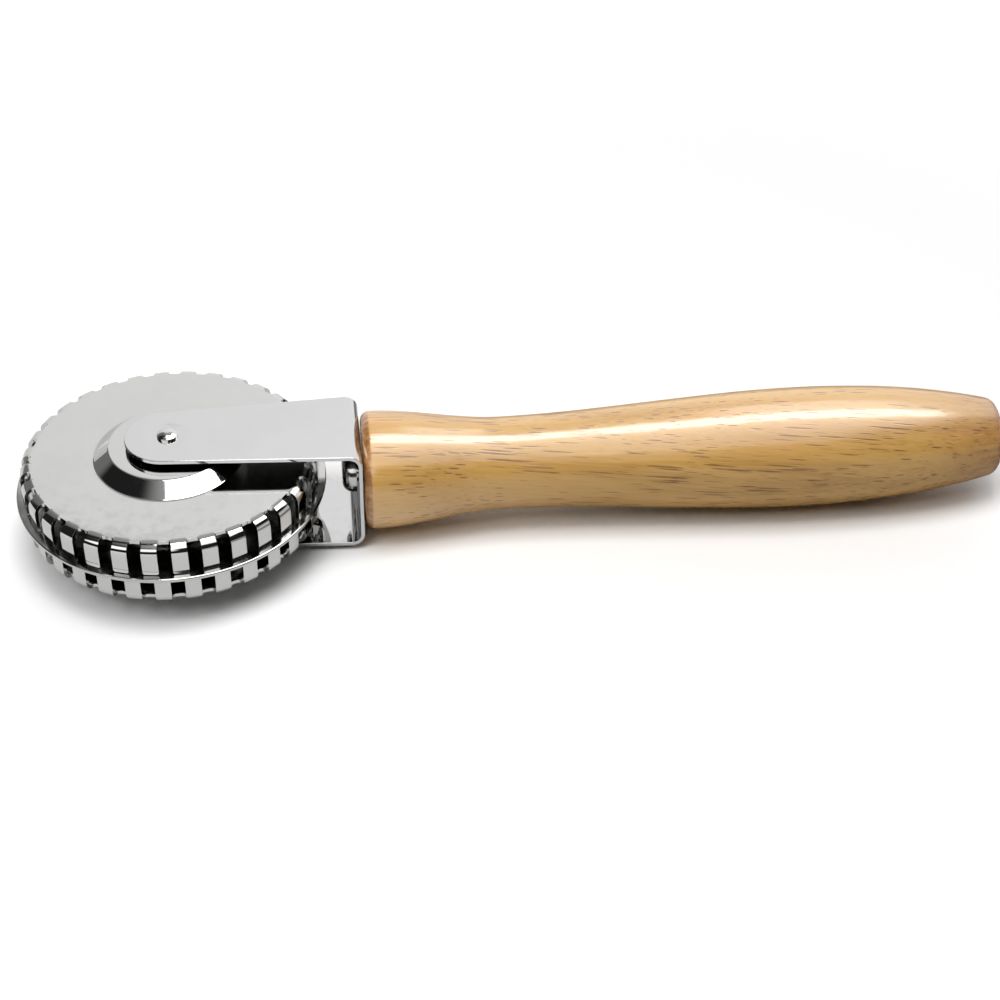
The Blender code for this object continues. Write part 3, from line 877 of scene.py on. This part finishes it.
def room():
    """What the chrome sees round the table: a white sweep on the far side with dimmer panels over it, a strip
    lamp to the near left, a pale wall on the right, and a dark room between them. The camera sees white."""
    world = bpy.data.worlds.new("studio")
    bpy.context.scene.world = world
    world.use_nodes = True
    tree = world.node_tree
    tree.nodes.clear()
    towards = node(tree, "ShaderNodeTexCoord").outputs["Generated"]
    east, north, up = axes(tree, towards)

    # The sweep is brightest on the right. Its sharp top edge falls towards the left, where it ends in shade
    right_side = span(tree, east, -0.10, 0.10)
    starts = math_node(tree, "MULTIPLY_ADD", right_side, -0.30, 0.46)
    far = span(tree, math_node(tree, "SUBTRACT", north, starts), -0.10, 0.10)
    left = math_node(tree, "MINIMUM", east, 0.0)
    top = math_node(tree, "MULTIPLY_ADD", product(tree, left, left), 1.1, up)
    bright = span(tree, east, -0.75, 0.05, 0.70, 1.17, smooth=False)
    sweep = product(tree, far, bright, span(tree, top, 0.645, 0.662, 1.0, 0.0))

    # The panels: a ceiling over the sweep, and a wing of it that comes forward overhead
    ceiling = product(tree, span(tree, north, 0.35, 0.55), span(tree, east, -0.35, 0.05, 0.22, 0.55))
    wing = product(tree, span(tree, up, 0.80, 0.88), span(tree, east, -0.50, -0.15, 0.08, 0.42))
    wing = product(tree, wing, span(tree, north, 0.05, 0.25, 1.0, 0.0))

    # The strip and the wall, which only polished parts see
    near = span(tree, north, -0.35, -0.22, 1.0, 0.0)
    band = product(tree, span(tree, up, 0.40, 0.46), span(tree, up, 0.74, 0.80, 1.0, 0.0))
    ends = product(tree, span(tree, east, -0.90, -0.75), span(tree, east, -0.05, 0.08, 1.7, 0.0))
    strip = product(tree, near, band, ends)
    wall = product(tree, span(tree, east, 0.75, 0.90, 0.0, 0.7), span(tree, up, 0.30, 0.45, 1.0, 0.0))
    polish_only = math_node(tree, "MAXIMUM", strip, wall)
    polish_only = product(tree, polish_only, light_ray(tree, "Is Glossy Ray"))

    # The dark room is a little lighter along the horizon
    strength = span(tree, math_node(tree, "ABSOLUTE", up), 0.02, 0.10, 0.16, 0.02)
    seen = light_ray(tree, "Is Camera Ray", "Is Transmission Ray")
    for part in (sweep, ceiling, wing, polish_only, seen):
        strength = math_node(tree, "MAXIMUM", strength, part)
    shown = node(tree, "ShaderNodeBackground", {"Color": (1, 1, 1, 1), "Strength": strength}).outputs[0]
    node(tree, "ShaderNodeOutputWorld", {"Surface": shown})


def camera():
    """Stands where the photograph was taken from: to the left, and well above the table."""
    azimuth = math.radians(CAMERA_AZIMUTH)
    elevation = math.radians(CAMERA_ELEVATION)
    roll = math.radians(CAMERA_ROLL)
    ground = math.cos(elevation)
    back = Vector((math.sin(azimuth) * ground, -math.cos(azimuth) * ground, math.sin(elevation)))
    level = Vector((math.cos(azimuth), math.sin(azimuth), 0))
    upward = back.cross(level)
    right = math.cos(roll) * level + math.sin(roll) * upward
    up = math.cos(roll) * upward - math.sin(roll) * level
    eye = bpy.data.cameras.new("camera")
    eye.sensor_width = 36
    eye.lens = CAMERA_LENS
    eye.clip_start = 0.01
    eye.clip_end = 20
    stand = bpy.data.objects.new("camera", eye)
    bpy.context.scene.collection.objects.link(stand)
    turn = Matrix((right, up, back)).transposed().to_4x4()
    stand.matrix_world = Matrix.Translation(Vector(CAMERA_TARGET) + CAMERA_DISTANCE * back) @ turn
    bpy.context.scene.camera = stand


camera()
white_table()
softbox("softbox_core", 10.0, (-0.135, 0.47), (0.01, 0.17), "glossy")
softbox("softbox_far_edge", 6.0, (-0.120, 0.47), (0.17, 0.20), "glossy")
softbox("softbox_near_half", 1.9, (-0.140, 0.47), (-0.24, 0.01), "glossy")
softbox("softbox_grip", 2.8, (0.12, 0.40), (0.20, 0.52), "glossy")
softbox("softbox_butt", 1.2, (0.40, 0.75), (0.10, 0.52), "glossy")
softbox("softbox_skirt", 1.7, (-0.140, 0.34), (-0.60, -0.24), "glossy")
softbox("key_light", 7.9, (-0.20, 0.10), (-0.20, 0.10), "diffuse")
softbox("grip_light", 6.2, (0.10, 0.50), (0.00, 0.20), "diffuse")
softbox("left_fill", 4.8, (-0.60, -0.20), (-0.50, -0.10), "diffuse")
room()

cup_chrome = chrome("cup_chrome", (0.590, 0.592, 0.580), polish=(0.03, 0.09), ripple=0.000004)
arm_underside = axle.z + ARM_INSIDE
fork_chrome = chrome("fork_chrome", (0.600, 0.605, 0.600), (0.03, 0.08), 0.000003, arm_underside)
disc_steel = chrome("disc_steel", (0.560, 0.560, 0.545), polish=(0.08, 0.18), ripple=0.000003)
rivet_steel = chrome("rivet_steel", (0.620, 0.620, 0.610), polish=(0.08, 0.18), ripple=0.000004)
screw_steel = chrome("screw_steel", (0.520, 0.515, 0.500), polish=(0.12, 0.24), ripple=0.000005)
wood = lacquered_wood()

rim_tree = wheel_rim_tree()
crimp_wheel("upper_crimp_wheel", UPPER_TURN, False, cup_chrome)
crimp_wheel("lower_crimp_wheel", LOWER_TURN, True, cup_chrome)
cutting_disc()
hub_bush()
fork()
axle_rivet()
handle_screw()
handle()

bpy.context.scene.view_settings.view_transform = "Standard"
